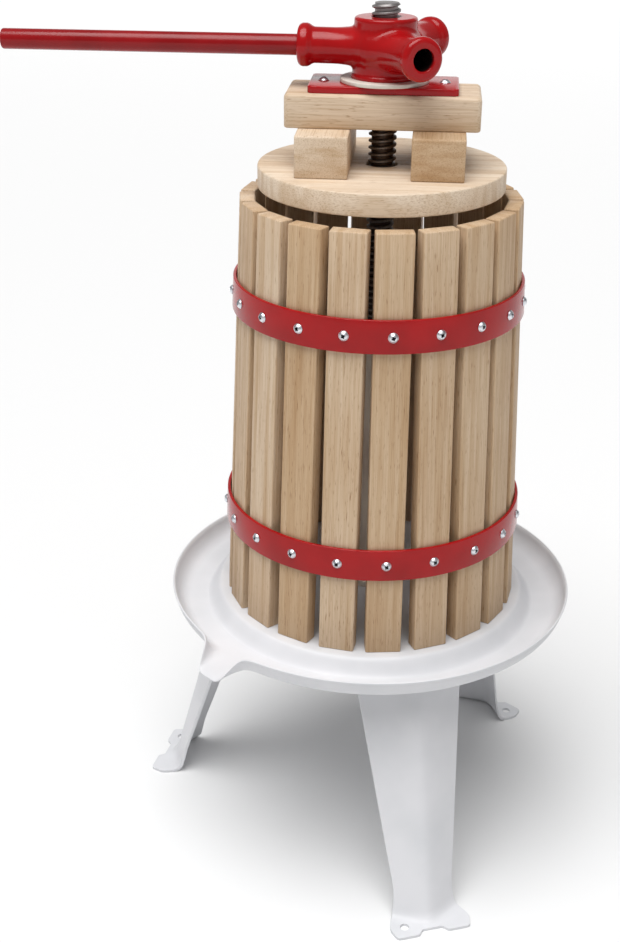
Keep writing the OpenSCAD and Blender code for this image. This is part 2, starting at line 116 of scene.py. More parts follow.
# paints and bare metals share one tree: two tones in a soft cloud, uneven gloss and a fine surface
finishes = {
    # alkyd enamel, sprayed on steel and cast iron: deep glossy red with a faint orange peel,
    # turning near-black down in the hub's sockets, painted shade over bare iron there
    "redEnamel": {
        "tones": ("9a0d10", "a70e12"), "cloud": 30.0, "peel": 2.4, "bump": 0.05,
        "roughness": (0.15, 0.22), "metallic": 0.0, "specular": 0.28, "coat": 0.05, "shadeColour": "1f1615"},
    # the same enamel on the lever's tube, darker all along as painted shade, and smoother
    "redEnamelTubePaintedShade": {
        "tones": ("860d11", "910f14"), "cloud": 30.0, "peel": 2.4, "bump": 0.04,
        "roughness": (0.19, 0.26), "metallic": 0.0, "specular": 0.28, "coat": 0.05},
    # powder coat on pressed sheet: clean white satin, slightly uneven in its gloss
    "whitePowderCoat": {
        "tones": ("d2d3d6", "dbdbde"), "cloud": 70.0, "peel": 1.8, "bump": 0.03,
        "roughness": (0.34, 0.46), "metallic": 0.0, "specular": 0.25, "coat": 0.05},
    # bright zinc plate: pale cool silver with a thin haze, with painted shade darkening it where a recess
    # is deep
    "brightZinc": {
        "tones": ("d6dae1", "eceef1"), "cloud": 3.0, "peel": 0.6, "bump": 0.02,
        "roughness": (0.3, 0.44), "metallic": 1.0, "specular": 0.5, "coat": 0.0, "shadeColour": "2b2e36"},
    # moulded nylon: off-white, waxy and dull
    "mouldedNylon": {
        "tones": ("cfc8bd", "ddd7cc"), "cloud": 18.0, "peel": 1.2, "bump": 0.03,
        "roughness": (0.42, 0.55), "metallic": 0.0, "specular": 0.4, "coat": 0.0},
}


def makeFinish(name, look):
    material, tree, shader = startMaterial(name)
    place = addNode(tree, "ShaderNodeTexCoord").outputs["Object"]
    cloud = addNode(tree, "ShaderNodeTexNoise", {
        "Vector": place, "Scale": 1 / (look["cloud"] * mm), "Detail": 3.0}).outputs["Fac"]
    peel = addNode(tree, "ShaderNodeTexNoise", {
        "Vector": place, "Scale": 1 / (look["peel"] * mm), "Detail": 1.0}).outputs["Fac"]
    first, second = (linear(code) for code in look["tones"])
    tones = addNode(tree, "ShaderNodeValToRGB", {"Fac": cloud}, stops=((0.35, first), (0.65, second)))
    colour = tones.outputs["Color"]
    # painted shade: where an attribute marks a deep recess, the colour darkens towards the shade colour
    if "shadeColour" in look:
        recessShade = addNode(tree, "ShaderNodeAttribute", attribute_name="paintedRecessShade").outputs["Fac"]
        shadedMix = addNode(tree, "ShaderNodeMix", {
            0: recessShade, 6: colour, 7: linear(look["shadeColour"])}, data_type="RGBA")
        colour = shadedMix.outputs[2]
    low, high = look["roughness"]
    rough = addNode(tree, "ShaderNodeMapRange", {
        "Value": cloud, "From Min": 0.3, "From Max": 0.7, "To Min": low, "To Max": high})
    bump = addNode(tree, "ShaderNodeBump", {
        "Height": peel, "Strength": 0.6, "Distance": look["bump"] * mm})
    tree.links.new(colour, shader.inputs["Base Color"])
    tree.links.new(rough.outputs["Result"], shader.inputs["Roughness"])
    tree.links.new(bump.outputs["Normal"], shader.inputs["Normal"])
    shader.inputs["Metallic"].default_value = look["metallic"]
    shader.inputs["Specular IOR Level"].default_value = look["specular"]
    shader.inputs["Coat Weight"].default_value = look["coat"]
    shader.inputs["Coat Roughness"].default_value = 0.12
    return material


# rolled steel thread: dark oil in the grooves, partly painted shade, bare grey on the crests,
# cleaner and lighter near the top end, partly painted light, on a plain drawn shaft that is bright and
# bare
threadLook = {
    "oilAndShade": "43372f", "steel": "9a938f", "cleanAndLit": "8c8887", "shaft": "efe3d3", "grit": 1.5,
    "roughness": (0.32, 0.52),
    "metallic": 0.75,  # the oil film scatters part of the light
}


def makeThreadSteel(look, cleanAndLitFrom, cleanAndLitTo):
    material, tree, shader = startMaterial("rolledThreadSteel")
    crest = addNode(tree, "ShaderNodeAttribute", attribute_name="threadCrest").outputs["Fac"]
    place = addNode(tree, "ShaderNodeTexCoord").outputs["Object"]
    grit = addNode(tree, "ShaderNodeTexNoise", {
        "Vector": place, "Scale": 1 / (look["grit"] * mm), "Detail": 4.0}).outputs["Fac"]
    # partly painted light: over these heights the thread turns cleaner and lighter at its lit top end
    height = addNode(tree, "ShaderNodeSeparateXYZ", {"Vector": place}).outputs["Z"]
    cleanAndLit = addNode(tree, "ShaderNodeMapRange", {
        "Value": height, "From Min": cleanAndLitFrom * mm, "From Max": cleanAndLitTo * mm}).outputs["Result"]
    bare = addNode(tree, "ShaderNodeMix", {
        0: cleanAndLit, 6: linear(look["steel"]), 7: linear(look["cleanAndLit"])}, data_type="RGBA")
    # the dark oil in the grooves and lower down is partly painted shade
    wear = addNode(tree, "ShaderNodeMath", {0: crest, 1: grit}, operation="MULTIPLY")
    share = addNode(tree, "ShaderNodeMath", {
        0: wear.outputs[0], 1: cleanAndLit}, operation="ADD", use_clamp=True)
    colour = addNode(tree, "ShaderNodeMix", {
        0: share.outputs[0], 6: linear(look["oilAndShade"]), 7: bare.outputs[2]}, data_type="RGBA")
    # the plain shaft's pale warm colour is partly a painted reflection of the wood around it
    plain = addNode(tree, "ShaderNodeAttribute", attribute_name="plainShaft").outputs["Fac"]
    colour = addNode(tree, "ShaderNodeMix", {
        0: plain, 6: colour.outputs[2], 7: linear(look["shaft"])}, data_type="RGBA")
    low, high = look["roughness"]
    rough = addNode(tree, "ShaderNodeMapRange", {
        "Value": grit, "From Min": 0.3, "From Max": 0.7, "To Min": low, "To Max": high})
    bump = addNode(tree, "ShaderNodeBump", {"Height": grit, "Strength": 0.4, "Distance": 0.05 * mm})
    tree.links.new(colour.outputs[2], shader.inputs["Base Color"])
    tree.links.new(rough.outputs["Result"], shader.inputs["Roughness"])
    tree.links.new(bump.outputs["Normal"], shader.inputs["Normal"])
    shader.inputs["Metallic"].default_value = look["metallic"]
    return material


beech = makeBeech(beechLook)
red, shadedTubeRed, white, zinc, nylon = (makeFinish(name, look) for name, look in finishes.items())
print("materials:", len(bpy.data.materials))


# shapes are made in millimetres and scaled when the piece is finished
def loft(rings, around=True, along=False, caps=True):
    bm = bmesh.new()
    grid = [[bm.verts.new(p) for p in ring] for ring in rings]
    count = len(rings[0])
    for a, b in list(zip(grid, grid[1:])) + ([(grid[-1], grid[0])] if along else []):
        for j in range(count if around else count - 1):
            k = (j + 1) % count
            bm.faces.new((a[j], a[k], b[k], b[j]))
    if caps and around and not along:
        bm.faces.new(grid[0][::-1])
        bm.faces.new(grid[-1])
    return bm


def easedOutline(corners, radii, steps=5):  # each corner becomes an arc of its own radius
    out = []
    for i, corner in enumerate(corners):
        radius = radii[i] if isinstance(radii, (list, tuple)) else radii
        here = Vector(corner)
        before = (Vector(corners[i - 1]) - here).normalized()
        after = (Vector(corners[(i + 1) % len(corners)]) - here).normalized()
        if radius <= 0:
            out.append((here.x, here.y))
            continue
        half = before.angle(after) / 2
        centre = here + (before + after).normalized() * (radius / math.sin(half))
        start = here + before * (radius / math.tan(half)) - centre
        end = here + after * (radius / math.tan(half)) - centre
        turn = math.atan2(start.x * end.y - start.y * end.x, start.dot(end))
        for k in range(steps + 1):
            c, s = math.cos(turn * k / steps), math.sin(turn * k / steps)
            out.append((centre.x + start.x * c - start.y * s, centre.y + start.x * s + start.y * c))
    return out


def inset(outline, amount):  # a counter-clockwise outline moved in by that amount
    out = []
    for i, point in enumerate(outline):
        a, b = Vector(outline[i - 1]), Vector(point)
        c = Vector(outline[(i + 1) % len(outline)])
        one = Vector((a.y - b.y, b.x - a.x)).normalized()
        two = Vector((b.y - c.y, c.x - b.x)).normalized()
        out.append(b + (one + two) * (amount / (1 + one.dot(two))))
    return out


def edgeLevels(low, high, lowEase, highEase, steps=4):  # heights and insets of a rounded slab
    turns = [math.radians(90 * k / steps) for k in range(steps + 1)]
    rise = [(low + lowEase * (1 - math.cos(t)), lowEase * (1 - math.sin(t))) for t in turns]
    fall = [(high - highEase * (1 - math.cos(t)), highEase * (1 - math.sin(t))) for t in turns[::-1]]
    return rise + fall


def stack(outline, levels):
    return loft([[(p[0], p[1], z) for p in inset(outline, e)] for z, e in levels])


def lathe(profile, steps=96):  # a closed profile of radius and height, turned about Z
    rings = []
    for k in range(steps):
        c, s = math.cos(2 * math.pi * k / steps), math.sin(2 * math.pi * k / steps)
        rings.append([(r * c, r * s, z) for r, z in profile])
    bm = loft(rings, along=True)
    bmesh.ops.remove_doubles(bm, verts=bm.verts[:], dist=1e-4)
    return bm


def toMesh(name, bm):
    mesh = bpy.data.meshes.new(name)
    bm.to_mesh(mesh)
    bm.free()
    return mesh


def cutAway(body, *cutters):  # the first shape less the others
    items = []
    for bm in (body, *cutters):
        bmesh.ops.recalc_face_normals(bm, faces=bm.faces[:])
        items.append(bpy.data.objects.new("cut", toMesh("cut", bm)))
        scene.collection.objects.link(items[-1])
    for item in items[1:]:
        step = items[0].modifiers.new("cut", "BOOLEAN")
        step.operation, step.solver, step.object = "DIFFERENCE", "EXACT", item
    bpy.context.view_layer.update()
    evaluated = items[0].evaluated_get(bpy.context.evaluated_depsgraph_get())
    out = bmesh.new()
    out.from_mesh(evaluated.to_mesh())
    evaluated.to_mesh_clear()
    for item in items:
        mesh = item.data
        bpy.data.objects.remove(item)
        bpy.data.meshes.remove(mesh)
    return out


def addCopies(bm, matrices):  # one mesh of that shape at each place
    out = bmesh.new()
    mesh = toMesh("copy", bm)
    for matrix in matrices:
        before = len(out.verts)
        out.from_mesh(mesh)
        out.verts.ensure_lookup_table()
        bmesh.ops.transform(out, matrix=matrix, verts=out.verts[before:])
    bpy.data.meshes.remove(mesh)
    return out


def setGrain(bm, axis, tone):  # wood grain along that axis, from its own place in the tree
    place = bm.verts.layers.float_vector.new("grainPlace")
    shade = bm.verts.layers.float.new("boardTone")
    shift = [draw.uniform(-4000, 4000) for _ in range(3)]
    order = {"x": (1, 2, 0), "y": (2, 0, 1), "z": (0, 1, 2)}[axis]
    for v in bm.verts:
        v[place] = [(v.co[order[i]] + shift[i]) * mm for i in range(3)]
        v[shade] = tone


def finishPiece(name, bm, material, body, nodes, sharp=32):
    bmesh.ops.recalc_face_normals(bm, faces=bm.faces[:])
    bmesh.ops.scale(bm, vec=(mm, mm, mm), verts=bm.verts[:])
    mesh = toMesh(name, bm)
    mesh.materials.append(material)
    mesh.shade_smooth()
    mesh.set_sharp_from_angle(angle=math.radians(sharp))
    piece = bpy.data.objects.new(name, mesh)
    scene.collection.objects.link(piece)
    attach(piece, body)
    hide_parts(*nodes)
    return piece


def smoothStep(x):
    x = min(max(x, 0.0), 1.0)
    return x * x * (3 - 2 * x)


def turned(point, degrees):
    c, s = math.cos(math.radians(degrees)), math.sin(math.radians(degrees))
    return (point[0] * c - point[1] * s, point[0] * s + point[1] * c, point[2])


levels = {
    "platform": 265.0, "basket": 265.05, "plate": 669.55, "block": 689.55, "beam": 726.05,
    "bearing": 755.55, "washer": 761.55, "hub": 765.05, "top": 827.55,
}

# basket: flat boards that lean in, screwed to two hoops
basket = {
    "count": 20, "turn": -79.0, "height": 396.0, "lowR": 143.5, "topR": 127.5,
    "wide": 33.0, "thick": 14.0, "outerEase": 1.5, "innerEase": 1.0, "endEase": 1.3,
    "slip": 0.8, "tilt": 0.7,  # mm: how far a board may stray sideways and lean across
    "hoops": {"lower": 92.0, "upper": 308.0}, "hoopWide": 30.0, "hoopThick": 3.0, "hoopEase": 0.7,
    "screwHead": 9.0, "screwHigh": 3.24, "screwD": 4.0, "screwLong": 9.0,
    "tones": (0.32, 0.4, 0.46, 0.52, 0.6, 0.7),
}


def faceR(h):
    return basket["lowR"] - (basket["lowR"] - basket["topR"]) * h / basket["height"]


def hoopR(h):  # the hoop's inner radius, on the boards' edges
    return math.hypot(faceR(h), basket["wide"] / 2) + 0.1


def makeStave(i):
    half, thick = basket["wide"] / 2, basket["thick"]
    outline = easedOutline(
        [(-half, -thick), (half, -thick), (half, 0), (-half, 0)],
        [basket["innerEase"]] * 2 + [basket["outerEase"]] * 2)
    ends = edgeLevels(0, basket["height"], 1.0, basket["endEase"], 3)
    middle = [(basket["height"] * k / 12, 0) for k in range(1, 12)]
    bm = stack(outline, ends[:4] + middle + ends[4:])
    setGrain(bm, "z", draw.choice(basket["tones"]))
    slip, tilt = (draw.uniform(-1, 1) * basket[key] for key in ("slip", "tilt"))
    azimuth = basket["turn"] + (i - 1) * 360 / basket["count"]
    for v in bm.verts:
        u, t, h = v.co
        across = u + slip + tilt * (h / basket["height"] - 0.5)
        v.co = turned((faceR(h) + t, across, levels["basket"] + h), azimuth)
    finishPiece(f"staveBoard{i:02d}", bm, beech, "basket", [f"stave_{i:02d}"])


for i in range(1, basket["count"] + 1):
    makeStave(i)
print("staves:", basket["count"])


def makeHoop(name, h):
    half, thick = basket["hoopWide"] / 2, basket["hoopThick"]
    lean = (basket["lowR"] - basket["topR"]) / basket["height"]
    r, d, z = hoopR(h), lean * half, levels["basket"] + h
    section = easedOutline(
        [(r + d, z - half), (r + d + thick, z - half), (r - d + thick, z + half), (r - d, z + half)],
        basket["hoopEase"], 3)
    bm = lathe(section, 240)
    finishPiece(f"hoopBand{name.title()}", bm, red, "basket", [f"hoop_{name}"])


# pan heads with a cross recess
recess = {
    "wide": 0.2, "long": 0.48, "deep": 0.85,  # shares of the head's diameter and height
    "floorWide": 0.7, "floorLong": 0.6, "turns": (25, 115),  # shares of its mouth, and degrees
}


def crossHead(diameter, height, shank, length):
    r = diameter / 2
    ball = (r * r + height * height) / (2 * height)
    reach = math.asin(r / ball)
    turns = [reach * k / 12 for k in range(13)]
    dome = [(ball * math.sin(t), height - ball * (1 - math.cos(t))) for t in turns]
    profile = [(0, -length), (shank / 2, -length), (shank / 2, 0), (r - 0.15, 0), (r, 0.2)]
    profile += [(p, max(q, 0.35)) for p, q in dome[::-1]]
    bm = lathe(profile, 32)
    bars = []
    half, long = diameter * recess["wide"] / 2, diameter * recess["long"] / 2
    low, above = height * (1 - recess["deep"]), height + 0.5
    endU, endV = long * recess["floorLong"], half * recess["floorWide"]
    for turn in recess["turns"]:
        bar = loft([
            [(-endU, -endV, low), (endU, -endV, low), (endU, endV, low), (-endU, endV, low)],
            [(-long, -half, above), (long, -half, above), (long, half, above), (-long, half, above)]])
        bmesh.ops.rotate(bar, matrix=Matrix.Rotation(math.radians(turn), 3, "Z"), verts=bar.verts[:])
        bars.append(bar)
    bm = cutAway(bm, *bars)
    # painted shade: darker the deeper a point lies below the dome, inside the cross recess
    recessShade = bm.verts.layers.float.new("paintedRecessShade")
    for v in bm.verts:
        near = math.hypot(v.co.x, v.co.y)
        if 0 < v.co.z and near < long:
            skin = height - ball + math.sqrt(ball * ball - near * near)
            v[recessShade] = min(1.0, max(0.0, (skin - v.co.z) / (height * recess["deep"] / 2)))
    return bm


def makeHoopScrews(name, h):
    lean = math.atan((basket["lowR"] - basket["topR"]) / basket["height"])
    seat = hoopR(h) + basket["hoopThick"]
    places = []
    for i in range(basket["count"]):
        azimuth = math.radians(basket["turn"] + i * 360 / basket["count"])
        places.append(
            Matrix.Rotation(azimuth, 4, "Z") @ Matrix.Translation((seat, 0, levels["basket"] + h))
            @ Matrix.Rotation(math.pi / 2 - lean, 4, "Y")
            @ Matrix.Rotation(draw.uniform(0, math.pi), 4, "Z"))
    sizes = (basket[key] for key in ("screwHead", "screwHigh", "screwD", "screwLong"))
    bm = addCopies(crossHead(*sizes), places)
    finishPiece(
        f"hoopScrews{name.title()}", bm, zinc, "basket", [f"hoop_screws_{name}"], 28)


for name, h in basket["hoops"].items():
    makeHoop(name, h)
    makeHoopScrews(name, h)
print("hoops and their screws: 2 and", 2 * basket["count"])

# tray: one pressed sheet with a platform, a juice channel and a spout
tray = {
    "platformR": 151.0, "rimR": 199.5, "rimRise": 3.5, "deep": 15.5, "sheet": 2.0,
    "slope": 15.035, "wall": 16.975, "spoutTurn": -127.0, "spoutReach": 22.0, "spoutHalf": 5.2,
    "spoutBow": 6.0, "lipDrop": 4.0, "bore": 10.25,
}


def traySection(share):  # share is 0 along the rim and 1 in the spout
    top, floor = levels["platform"], levels["platform"] - tray["deep"]
    rim = top + tray["rimRise"]
    edgeR = tray["rimR"] + tray["spoutReach"] * share
    edgeZ = rim + (floor - tray["lipDrop"] - rim) * share
    foot = tray["rimR"] - tray["wall"]
    upper = [(tray["bore"], top), (60, top), (110, top), (tray["platformR"] - 2, top)]
    for k in range(0, 15):
        a = k / 14
        drop = tray["deep"] * (1 + math.cos(a * math.pi)) / 2
        upper.append((tray["platformR"] + a * tray["slope"], floor + drop))
    for k in range(0, 17):
        a = math.radians(k * 5.2)
        rise = (edgeZ - floor) * (1 - math.cos(a))
        upper.append((foot + (edgeR - 2 - foot) * math.sin(a), floor + rise))
    upper.append((edgeR - 0.8, edgeZ - 0.05 + 0.05 * share))
    lower = []
    for i, (r, z) in enumerate(upper):
        a, b = Vector(upper[max(i - 1, 0)]), Vector(upper[min(i + 1, len(upper) - 1)])
        d = (b - a).normalized()
        lower.append((r + d.y * tray["sheet"], z - d.x * tray["sheet"]))
    (r1, z1), (r2, z2) = upper[-1], lower[-1]
    tip = Vector(((r1 + r2) / 2, (z1 + z2) / 2))
    out = Vector((z1 - z2, -(r1 - r2))).normalized() * tray["sheet"] / 2
    side = Vector((r1, z1)) - tip
    bends = [math.radians(30 * k) for k in range(1, 6)]
    nose = [tip + side * math.cos(a) + out * math.sin(a) for a in bends]
    return upper + [(p.x, p.y) for p in nose] + lower[::-1]


def makeTray():
    near = [k * 0.5 for k in range(-28, 29)]
    angles = near + [14 + (360 - 28) * k / 150 for k in range(1, 150)]
    rings = []
    for a in angles:
        b = abs(a if a < 180 else a - 360) / tray["spoutHalf"]
        share = 1 / (1 + b ** tray["spoutBow"])  # a round tongue with hollow sides
        rings.append([turned((r, 0, z), tray["spoutTurn"] + a) for r, z in traySection(share)])
    bm = loft(rings, along=True)
    finishPiece("trayPressing", bm, white, "base", ["tray"], 50)


makeTray()
print("tray")

# legs: pressed sheet with a soft ridge, bent in under the tray and flared out at the foot
leg = {
    "turns": {"front": -67.0, "back": 53.0, "left": 173.0}, "sheet": 3.0, "footR": 219.0,
    "topR": 148.0, "footWide": 30.0, "topWide": 55.0, "vee": 0.6, "soft": 8.0, "bend": 9.0,
    "footLong": 16.0, "flare": 9.5, "notch": 6.0, "notchHalf": 0.25, "notchSide": 0.16, "corner": 5.0,
    "hole": 9.0, "holeAt": (222.0, -26.0), "tabR": 104.0, "tabWide": 42.0, "edge": 0.6,
}


def ridgeR(z):
    return leg["footR"] - (leg["footR"] - leg["topR"]) * z / (levels["platform"] - tray["sheet"])


def legStations():  # radius of the ridge, height, half width and share of the vee, from tab to toe
    up, bend, foot = levels["platform"] - tray["sheet"], leg["bend"], leg["footLong"]
    low, sheet, wide, flare = leg["footR"], leg["sheet"], leg["footWide"], leg["flare"]
    straight = []
    for k in range(0, 9):
        z = up - bend - (up - bend - foot * 1.9) * k / 8
        straight.append((ridgeR(z), z, leg["topWide"] + (wide - leg["topWide"]) * k / 8, 1.0))
    return [
        (leg["tabR"], up, leg["tabWide"], 0.0),
        (leg["tabR"] + 16, up, leg["tabWide"] + 7, 0.4),
        (ridgeR(up) - bend, up, leg["topWide"], 0.95),
        (ridgeR(up) - bend * 0.3, up - bend * 0.25, leg["topWide"], 1.0),
        *straight,
        (ridgeR(foot), foot, wide + flare * 0.05, 1.0),
        (ridgeR(foot / 2) + foot * 0.06, foot / 2, wide + flare * 0.2, 1.0),
        (low + foot * 0.17, sheet + foot * 0.06, wide + flare * 0.4, 0.95),
        (low + foot * 0.31, sheet, wide + flare * 0.65, 0.8),
        (low + foot * 0.5, sheet, wide + flare, 0.4),
        (low + foot, sheet, wide + flare * 0.85, 0.0),
    ]


def sampled(stations, share):  # a curve through the stations that keeps straight runs straight
    out = []
    for i in range(len(stations) - 1):
        p = [np.array(stations[min(max(i + k, 0), len(stations) - 1)]) for k in (-1, 0, 1, 2)]
        span = [max(np.linalg.norm(p[k + 1][:2] - p[k][:2]), 1e-6) for k in range(3)]
        into = outOf = p[2] - p[1]
        if i > 0:
            into = ((p[1] - p[0]) / span[0] * span[1] + into) / 2
        if i < len(stations) - 2:
            outOf = ((p[3] - p[2]) / span[2] * span[1] + outOf) / 2
        steps = max(1, min(share, round(span[1] / 2)))
        for k in range(steps):
            t = k / steps
            a, b = 2 * t ** 3 - 3 * t * t + 1, t ** 3 - 2 * t * t + t
            c, d = -2 * t ** 3 + 3 * t * t, t ** 3 - t * t
            out.append(a * p[1] + b * into + c * p[2] + d * outOf)
    return out + [np.array(stations[-1])]


def toeCut(t, wide):  # how far the toe's edge is cut back: a notch in the middle and round corners
    notch = leg["notch"] * (1 - smoothStep((abs(t) - leg["notchHalf"]) / leg["notchSide"]))
    past = min(max(abs(t) * wide - wide + leg["corner"], 0.0), leg["corner"])
    return notch + leg["corner"] - math.sqrt(leg["corner"] ** 2 - past * past)


def makeLeg(name, azimuth):
    path = sampled(legStations(), 5)
    across = [math.sin(math.radians(90 * k / 20)) for k in range(-20, 21)]
    across = [0.5 * (a + k / 20) for a, k in zip(across, range(-20, 21))]
    rows, soft = [], leg["soft"]
    for r, z, wide, share in path:
        row = []
        toe = smoothStep((r - leg["footR"] - leg["footLong"] * 0.45) / (leg["footLong"] * 0.55))
        for t in across:
            y = t * wide
            fall = leg["vee"] * (math.hypot(y, soft) - soft)
            row.append(Vector((r - share * fall - toe * toeCut(t, wide), y, z)))
        rows.append(row)
    under = []
    for i, row in enumerate(rows):  # the sheet's other face, square to the path
        r0, z0 = path[max(i - 1, 0)][:2]
        r1, z1 = path[min(i + 1, len(path) - 1)][:2]
        d = Vector((r1 - r0, z1 - z0)).normalized()
        if path[i][1] <= leg["sheet"] + 0.01 or i == 0:
            d = Vector((1, 0))
        under.append([p + Vector((d.y, 0, -d.x)) * leg["sheet"] for p in row])
    ring = [row + back[::-1] for row, back in zip(rows, under)]
    bm = loft(ring, caps=False)
    bm.verts.ensure_lookup_table()
    count = len(ring[0])
    for first in (0, (len(ring) - 1) * count):  # the sheet's ends, strip by strip since they bend
        for j in range(count // 2 - 1):
            corners = (j, j + 1, count - 2 - j, count - 1 - j)
            bm.faces.new([bm.verts[first + c] for c in corners])
    bmesh.ops.recalc_face_normals(bm, faces=bm.faces[:])
    edges = [e for e in bm.edges if e.calc_face_angle(0) > math.radians(50)]
    bmesh.ops.bevel(
        bm, geom=edges, offset=leg["edge"], segments=2, profile=0.5, affect="EDGES", clamp_overlap=True)
    x, y = leg["holeAt"]
    drill = lathe([(0, -2), (leg["hole"] / 2, -2), (leg["hole"] / 2, 8), (0, 8)], 32)
    bmesh.ops.translate(drill, vec=(x, y, 0), verts=drill.verts[:])
    bm = cutAway(bm, drill)
    for v in bm.verts:
        v.co = turned(v.co, azimuth)
    finishPiece(f"legPressing{name.title()}", bm, white, "base", [f"leg_{name}"], 50)


for name, azimuth in leg["turns"].items():
    makeLeg(name, azimuth)
print("legs:", len(leg["turns"]))

# screw: a rolled trapezoidal thread on a plain shaft with a collar, held below by a washer and a nut
screw = {
    "d": 25.0, "pitch": 6.0, "deep": 2.6, "crest": 0.3, "flank": 0.17, "tip": 2.0,
    "edgeDrop": 0.25, "edgeShare": 0.05,  # the crest's rounded edges, in mm and as a share of the pitch
    "plainHigh": 258.0, "collarD": 46.0, "collarHigh": 6.0, "footD": 20.0, "footLong": 31.0,
    "washerD": 62.0, "washerThick": 4.0, "nutWide": 30.0, "nutHigh": 16.0,
}
threadSteel = makeThreadSteel(threadLook, levels["hub"] + 42, levels["hub"] + 52)


def makeThread(low, high, steps=40):
    r, deep, pitch = screw["d"] / 2, screw["deep"], screw["pitch"]
    first, last = 0.5 - screw["crest"] / 2, 0.5 + screw["crest"] / 2
    drop, edge, flank = screw["edgeDrop"], screw["edgeShare"], screw["flank"]
    section = [  # share of the pitch, radius and how far out on the crest
        (0.0, r - deep, 0.0), (first - flank, r - deep, 0.0), (first, r - drop, 0.9),
        (first + edge, r, 1.0), (last - edge, r, 1.0), (last, r - drop, 0.9),
        (last + flank, r - deep, 0.0)]
    bm = bmesh.new()
    crest = bm.verts.layers.float.new("threadCrest")
    rows = []
    total = int(((high - low) / pitch + 3) * steps)
    for j in range(total):
        a = 2 * math.pi * j / steps
        base = low - 1.5 * pitch + pitch * j / steps
        row = []
        for share, radius, out in section:
            v = bm.verts.new((radius * math.cos(a), radius * math.sin(a), base + share * pitch))
            v[crest] = out
            row.append(v)
        rows.append(row)
    for j in range(total - 1):
        for k in range(len(section) - 1):
            bm.faces.new((rows[j][k], rows[j + 1][k], rows[j + 1][k + 1], rows[j][k + 1]))
        if j + steps + 1 < total:
            bm.faces.new((rows[j][-1], rows[j + 1][-1], rows[j + steps + 1][0], rows[j + steps][0]))
    for z, way in ((low, -1), (high, 1)):
        geom = bm.verts[:] + bm.edges[:] + bm.faces[:]
        bmesh.ops.bisect_plane(
            bm, geom=geom, plane_co=(0, 0, z), plane_no=(0, 0, way), clear_outer=True)
    geom = bm.verts[:] + bm.edges[:] + bm.faces[:]
    bmesh.ops.bisect_plane(bm, geom=geom, plane_co=(0, 0, high - screw["tip"]), plane_no=(0, 0, 1))
    for v in bm.verts:  # the end's chamfer
        far = math.hypot(v.co.x, v.co.y)
        limit = r + 0.01 - max(0, v.co.z - (high - screw["tip"]))
        if far > limit:
            v.co.x, v.co.y = v.co.x * limit / far, v.co.y * limit / far
    bmesh.ops.holes_fill(bm, edges=[e for e in bm.edges if e.is_boundary])
    return bm


def hexNut(across, high, bore):
    half, rings = across / 2, []
    for k in range(96):
        a = 2 * math.pi * k / 96
        r = half / math.cos((a + math.pi / 6) % (math.pi / 3) - math.pi / 6)
        drop = (r - half) * 0.6 + 0.02
        points = [(bore, 0), (half - 0.4, 0), (r, drop)]
        points += [(p, high - z) for p, z in points[::-1]]
        rings.append([(p * math.cos(a), p * math.sin(a), z) for p, z in points])
    return loft(rings, along=True)


def makeScrew():
    top = levels["platform"]
    bm = makeThread(top + screw["plainHigh"] - 2, levels["top"])
    crest = bm.verts.layers.float["threadCrest"]
    plain = bm.verts.layers.float.new("plainShaft")
    r, collarR, footR = screw["d"] / 2, screw["collarD"] / 2, screw["footD"] / 2
    shaft = lathe(easedOutline([
        (0, -screw["footLong"]), (footR, -screw["footLong"]), (footR, 0), (collarR, 0),
        (collarR, screw["collarHigh"]), (r, screw["collarHigh"]), (r, screw["plainHigh"]),
        (0, screw["plainHigh"])], [0, 1.5, 0, 0.5, 1.2, 0, 1.0, 0], 3), 64)
    bmesh.ops.translate(shaft, vec=(0, 0, top), verts=shaft.verts[:])
    bmesh.ops.recalc_face_normals(shaft, faces=shaft.faces[:])
    mesh = toMesh("shaft", shaft)
    bm.from_mesh(mesh)
    bpy.data.meshes.remove(mesh)
    for v in bm.verts:
        if v.co.z < top + screw["plainHigh"] + 0.01:  # the shaft and its collar, below the thread
            v[crest] = 0.5
            v[plain] = 1.0 if v.co.z > top else 0.0
    finishPiece("screwThread", bm, threadSteel, "base", ["screw"], 35)


makeScrew()
sheetLow = levels["platform"] - tray["sheet"]
washerLow, hole = sheetLow - screw["washerThick"], screw["footD"] / 2 + 0.2
washer = lathe(easedOutline([
    (hole, washerLow), (screw["washerD"] / 2, washerLow),
    (screw["washerD"] / 2, sheetLow), (hole, sheetLow)], 0.6, 3), 96)
finishPiece("screwFootWasher", washer, zinc, "base", ["screw_washer"])
nut = hexNut(screw["nutWide"], screw["nutHigh"], hole)
bmesh.ops.translate(nut, vec=(0, 0, washerLow - screw["nutHigh"]), verts=nut.verts[:])
finishPiece("screwFootNut", nut, zinc, "base", ["screw_nut"])

# leg bolts: domed heads on the platform, nuts under the legs' tabs
legBolt = {
    "r": 114.0, "t": 24.0, "d": 8.0, "long": 16.0, "headD": 16.0, "headHigh": 4.0,
    "nutWide": 13.0, "nutHigh": 6.5,
}
boltPlaces = [
    Matrix.Rotation(math.radians(azimuth), 4, "Z")
    @ Matrix.Translation((legBolt["r"], side * legBolt["t"], 0))
    for azimuth in leg["turns"].values() for side in (-1, 1)]
nuts = addCopies(
    hexNut(legBolt["nutWide"], legBolt["nutHigh"], legBolt["d"] / 2 + 0.1),
    [m @ Matrix.Translation((0, 0, sheetLow - leg["sheet"] - legBolt["nutHigh"])) for m in boltPlaces])
finishPiece("legNuts", nuts, zinc, "base", ["leg_nuts"])


